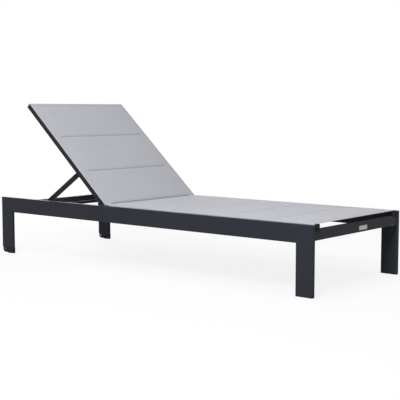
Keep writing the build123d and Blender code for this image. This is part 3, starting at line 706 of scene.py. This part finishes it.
# %% Its UV map is the flat cloth, in metres
while sling.data.uv_layers:
    sling.data.uv_layers.remove(sling.data.uv_layers[0])
cloth_map = sling.data.uv_layers.new(name="cloth")
point_of_corner = np.empty(len(sling.data.loops), dtype=np.int32)
sling.data.loops.foreach_get("vertex_index", point_of_corner)
flat_places = np.stack([across, length], axis=-1)[point_of_corner].astype(np.float32)
cloth_map.data.foreach_set("uv", flat_places.ravel())
sling.data.materials.clear()
sling.data.materials.append(FINISHES["sling_fabric"])
print("cloth map laid out")

# %% How dark each seam, from foot to head, is painted: painted shade in its groove
PAINTED_SHADE_OF_SEAM = np.array([1.0, 1.5, 0.7, 0.8, 1.3, 0.45, 0.25])
SEAM_SHADE_WIDTH, CREASE_SHADE_WIDTH = 2.8 * MM, 7 * MM
seam_shade_mark = sling.data.attributes.new("tightness", "FLOAT", "POINT")
width = np.where(nearest_seam == seams.index(crease), CREASE_SHADE_WIDTH, SEAM_SHADE_WIDTH)
seam_shade_amount = np.exp(-((to_seam / width) ** 2)) * (1 - np.exp(-to_side / SEAM_FADE))
seam_shade_amount = seam_shade_amount * PAINTED_SHADE_OF_SEAM[nearest_seam]
seam_shade_mark.data.foreach_set("value", seam_shade_amount.astype(np.float32))
print("pull of each seam:", PAINTED_SHADE_OF_SEAM)

# %% [markdown]
# ## Stitching
# The seams are sewn with a plain lockstitch: short stitches end to end, each pulled a little into the
# cloth. A painted line would vanish in a close view. So one stitch is modelled as a small grain,
# copied along each seam, and folded over the hinge together with the cloth. Each face has its own
# piece of stitching, because a real seam shows on both faces.

# %% One row of stitches, laid flat
STITCH, PITCH, THREAD = 3.2 * MM, 4.2 * MM, 0.36 * MM


def stitch_row(start, end):
    """Models one stitch and copies it along a line from (across, length) to (across, length)."""
    run = math.dist(start, end)
    deselect_all()
    bpy.ops.mesh.primitive_uv_sphere_add(segments=6, ring_count=4, radius=THREAD)
    row = bpy.context.object
    row.scale = (STITCH / 2 / THREAD, 1, 1)
    bpy.ops.object.transform_apply(location=True, rotation=True, scale=True)
    count = int(run / PITCH)
    step = (run / count, 0, 0)
    apply_modifier(row, "ARRAY", count=count, use_relative_offset=False,
                   use_constant_offset=True, constant_offset_displace=step)
    turn = math.atan2(end[1] - start[1], end[0] - start[0])
    first = run / count / 2
    row.location = (start[0] + first * math.cos(turn), start[1] + first * math.sin(turn), 0)
    row.rotation_euler = (0, 0, turn)
    bpy.ops.object.transform_apply(location=True, rotation=True, scale=True)
    return row


# %% All rows of one face
SEAM_INSET, HEM_INSET = 3 * MM, 8 * MM


def all_rows(name):
    left, right = pad_sides
    sewn = [stitch_row((left + SEAM_INSET, s), (right - SEAM_INSET, s)) for s in seams]
    sewn += [stitch_row((left, s), (right, s)) for s in ends]
    sewn += [stitch_row((y, ends[0]), (y, ends[1])) for y in pad_sides]
    hem_end = half_width - HEM_INSET
    sewn += [stitch_row((-hem_end, s), (hem_end, s)) for s in (HEM, sling_length - HEM)]
    deselect_all()
    for row in sewn:
        row.select_set(True)
    bpy.context.view_layer.objects.active = sewn[0]
    bpy.ops.object.join()
    sewn[0].name = name
    return sewn[0]


# %% Height of the cloth under any point
def cloth_height(at_across, at_length, top):
    """Rise of the finished flat cloth, read between the four nearest points of its grid."""
    layer = upper if top else ~upper
    heights = np.empty((len(rows), len(columns)))
    heights[row_of[layer], column_of[layer]] = rise[layer]
    r = np.clip(np.searchsorted(rows, at_length) - 1, 0, len(rows) - 2)
    c = np.clip(np.searchsorted(columns, at_across) - 1, 0, len(columns) - 2)
    u = (at_length - rows[r]) / (rows[r + 1] - rows[r])
    v = (at_across - columns[c]) / (columns[c + 1] - columns[c])
    near = heights[r, c] * (1 - v) + heights[r, c + 1] * v
    far = heights[r + 1, c] * (1 - v) + heights[r + 1, c + 1] * v
    return near * (1 - u) + far * u


# %% Sew both faces
PROUD = 0.35  # of the thread's radius
thread = moulded("thread", (0.36, 0.36, 0.39), (0.50, 0.50, 0.54), 0.7, 3000.0, 0.03 * MM)
stitchings = []
for top in (True, False):
    stitching = all_rows("stitching_above" if top else "stitching_below")
    p = read_points(stitching)
    proud = (1 if top else -1) * THREAD * PROUD
    height = cloth_height(p[:, 0], p[:, 1], top) + p[:, 2] + proud
    place_points(stitching, fold(p[:, 0], p[:, 1], height))
    make_active(stitching)
    bpy.ops.object.shade_smooth()
    stitching.data.materials.append(thread)
    stitchings.append(stitching)
    print(stitching.name, sum(len(f.vertices) - 2 for f in stitching.data.polygons), "triangles")

# %% [markdown]
# ## The cloth in place
# Sling and stitching keep the places they were folded to, which are applied to their meshes, and the
# frame's own sling pieces are hidden. Where a bend at the hinge, a few centimetres either side of the
# crease, would start and end is worked out and printed.

# %% Ends of the bend at the hinge
BEND = 24 * MM
bend_start = tuple(fold(0.0, crease - BEND, CLOTH))
bend_end = tuple(fold(0.0, crease + BEND, CLOTH))
for piece in [sling] + stitchings:
    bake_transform(piece)
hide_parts("seat_sling", "backrest_sling")
print("bends between", [round(float(v), 3) for v in bend_start], [round(float(v), 3) for v in bend_end])

# %% [markdown]
# ## The small plate
# A thin metal plate is riveted to the foot rail. It is blank. Its edge is softened and its face is
# sunk a little inside a narrow rim, as a pressed plate's is.

# %% Plate
RIM, RIM_SLOPE, FACE_DEPTH = 1.1 * MM, 0.3 * MM, 0.25 * MM
EDGE_SOFTNESS = 0.25 * MM
plate_lo, plate_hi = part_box("tag_plate")
deselect_all()
bpy.ops.mesh.primitive_cube_add(size=1.0, location=[(a + b) / 2 for a, b in zip(plate_lo, plate_hi)])
plate = bpy.context.object
plate.name = "plate"
plate.scale = [b - a for a, b in zip(plate_lo, plate_hi)]
bpy.ops.object.transform_apply(location=True, rotation=False, scale=True)
bpy.ops.object.mode_set(mode="EDIT")
bpy.ops.mesh.select_all(action="DESELECT")
bpy.ops.object.mode_set(mode="OBJECT")
for face in plate.data.polygons:
    face.select = face.normal.x > 0.9
bpy.ops.object.mode_set(mode="EDIT")
bpy.ops.mesh.inset(thickness=RIM, depth=0.0)
bpy.ops.mesh.inset(thickness=RIM_SLOPE, depth=-FACE_DEPTH)
bpy.ops.object.mode_set(mode="OBJECT")
apply_modifier(plate, "BEVEL", width=EDGE_SOFTNESS, segments=2)
bpy.ops.object.shade_smooth_by_angle(angle=math.radians(40))
plate.data.materials.append(FINISHES["tag_metal"])
print("plate has", len(plate.data.polygons), "faces")

# %% It rides on the frame
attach(plate, "frame")
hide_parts("tag_plate")
print("plate stands for tag_plate")

# %% [markdown]
# ## Floor, light and camera
# A pale floor under a broad soft light from above keeps the shape easy to read. A smaller one gives the
# near side its tone, and one low behind the head end catches the edges. The backdrop's white comes from
# the floor's and the world's own colour and not from more light, so the cloth doesn't burn out.


# %% Floor
FADE_START, FADE_LENGTH = 1.6, 1.6
GLOW = 0.86  # of the floor's white is its own, the rest is lit and takes the shadow


def backdrop_floor():
    """White to look at, with a faint shadow; a darker grey for the light that bounces off it."""
    pale = Finish("pale_floor", roughness=0.9, specular=0.1)
    looked_at = pale.looked_at()
    pale.set(base_color=pale.blend_colours(looked_at, (0.42, 0.42, 0.42), (0.92, 0.92, 0.92)))
    white = pale.node("ShaderNodeEmission", None, {"Color": (1, 1, 1, 1), "Strength": 1.0})
    far = pale.node("ShaderNodeVectorMath", {"operation": "LENGTH"}, {0: pale.place()}, output=1)
    faded = ((far - FADE_START) / FADE_LENGTH).clamp()
    share = (GLOW + faded * (1 - GLOW)) * looked_at
    lit = Value(pale, pale.shader.outputs[0])
    result = pale.node("ShaderNodeMixShader", None, {0: share, 1: lit, 2: white})
    pale.feed(pale.tree.nodes["Material Output"].inputs["Surface"], result)
    return pale.material


deselect_all()
bpy.ops.mesh.primitive_plane_add(size=60.0, location=(0, 0, -0.5 * MM))
floor = bpy.context.object
floor.name = "floor"
floor.data.materials.append(backdrop_floor())
print("the floor turns white from", FADE_START, "to", FADE_START + FADE_LENGTH, "m out")

# %% World
AIR = 0.18
world = bpy.data.worlds.new("studio")
bpy.context.scene.world = world
world.use_nodes = True
air = Graph(world.node_tree)
brightness = {"Value": air.looked_at(), "To Min": AIR, "To Max": 1.0}
background = air.tree.nodes["Background"]
air.feed(background.inputs["Color"], (1, 1, 1, 1))
air.feed(background.inputs["Strength"], air.node("ShaderNodeMapRange", None, brightness))
print("the world looks white and lights at", AIR)


# %% Lamps
def softbox(name, place, aim, size, power):
    lamp = bpy.data.lights.new(name, "AREA")
    lamp.shape, lamp.size, lamp.energy = "DISK", size, power
    holder = bpy.data.objects.new(name, lamp)
    bpy.context.scene.collection.objects.link(holder)
    holder.location = place
    holder.rotation_euler = (Vector(aim) - Vector(place)).to_track_quat("-Z", "Y").to_euler()
    print(name, "of", power, "W")


softbox("softbox_above", place=(-2.4, 0.3, 8.2), aim=(-0.1, 0.0, 0.3), size=4.6, power=195.0)
softbox("softbox_side", place=(1.5, -3.0, 3.5), aim=(0.4, 0.0, 0.2), size=2.0, power=138.0)
softbox("softbox_behind", place=(-3.4, 1.7, 1.0), aim=(-0.4, 0.0, 0.4), size=2.0, power=45.0)

# %% Camera
lens = bpy.data.cameras.new("camera")
lens.lens, lens.sensor_width = 83.7, 36.0
camera = bpy.data.objects.new("camera", lens)
bpy.context.scene.collection.objects.link(camera)
camera.location = (3.046, -3.570, 0.773)
camera.rotation_euler = (math.radians(84.47), 0.0, math.radians(39.60))
bpy.context.scene.camera = camera
bpy.context.scene.view_settings.view_transform = "Standard"
print("camera with a lens of", round(lens.lens, 1), "mm")
